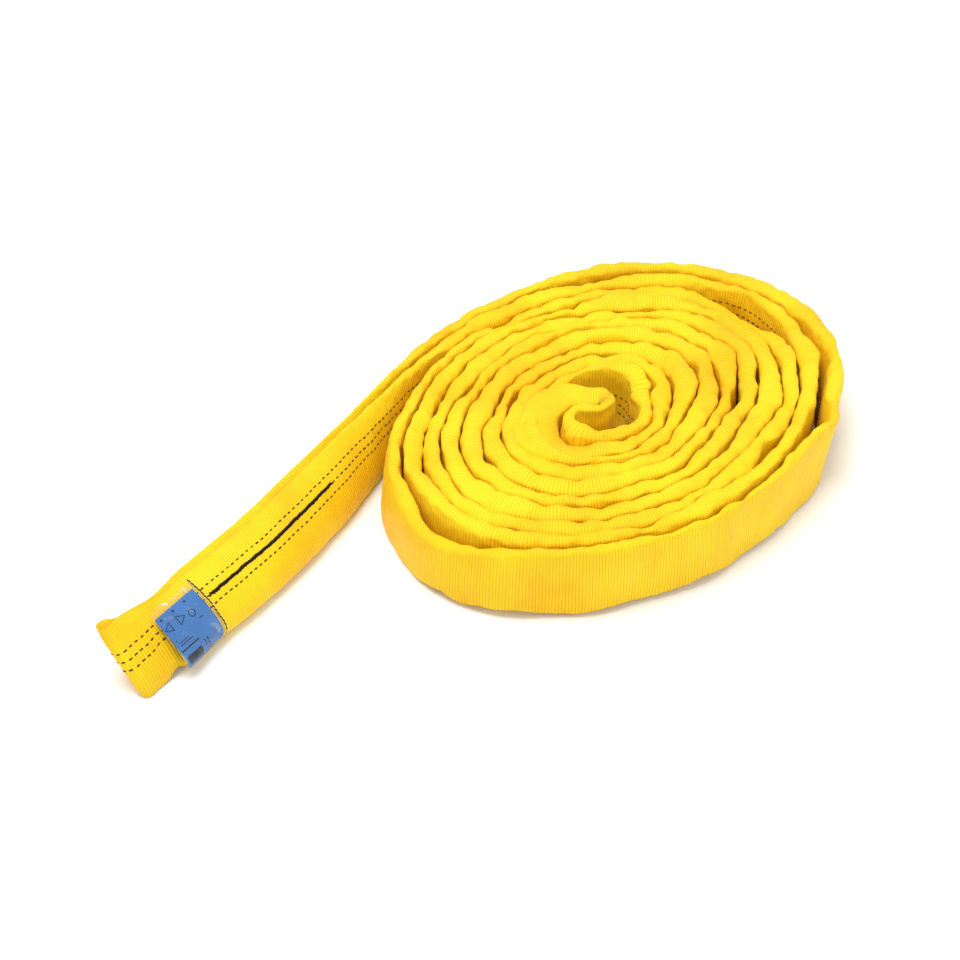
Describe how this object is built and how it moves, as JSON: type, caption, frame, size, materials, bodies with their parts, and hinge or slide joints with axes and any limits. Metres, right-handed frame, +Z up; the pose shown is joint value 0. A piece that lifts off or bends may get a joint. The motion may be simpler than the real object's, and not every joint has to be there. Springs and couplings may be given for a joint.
{
  "type": "round sling",
  "caption": "Endless textile round sling with a woven sleeve over a yarn core, coiled as a doubled strand with one free end and a sewn-on label in a clear wallet.",
  "frame": {"origin": "centre of the coil on the floor, on the bottom face of the coiled sleeve", "axes": "+Z up, across the sleeve's width; +X to the right and +Y away as the coil is seen with its free end at the lower left"},
  "size_m": [0.5531, 0.4496, 0.062],
  "materials": {
    "sleeve": "woven polyester with cross ribs",
    "core": "bundled polyester yarn",
    "tape": "adhesive tape",
    "marker": "black marker yarn",
    "seam": "dense black closing stitch",
    "label": "smooth woven label",
    "film": "clear glossy film",
    "thread": "dark sewing thread"
  },
  "bodies": {
    "sling": {"sleeve_coil": "sleeve", "sleeve_free_end": "sleeve", "core_coil": "core", "core_free_end": "core", "yarn_end_tape": "tape", "marker_yarn_upper": "marker", "marker_yarn_middle": "marker", "marker_yarn_lower": "marker", "closing_seam": "seam", "label_seam": "thread"},
    "label_flap": {"label": "label", "wallet_back_film": "film", "wallet_front_film": "film"}
  },
  "joints": [
    {"name": "label_fold", "type": "hinge", "parent": "sling", "child": "label_flap", "pos_m": [-0.28871, -0.19514, 0.03179], "axis": [-0.6013, 0.4262, 0.6759], "range_deg": [0, 150]}
  ]
}
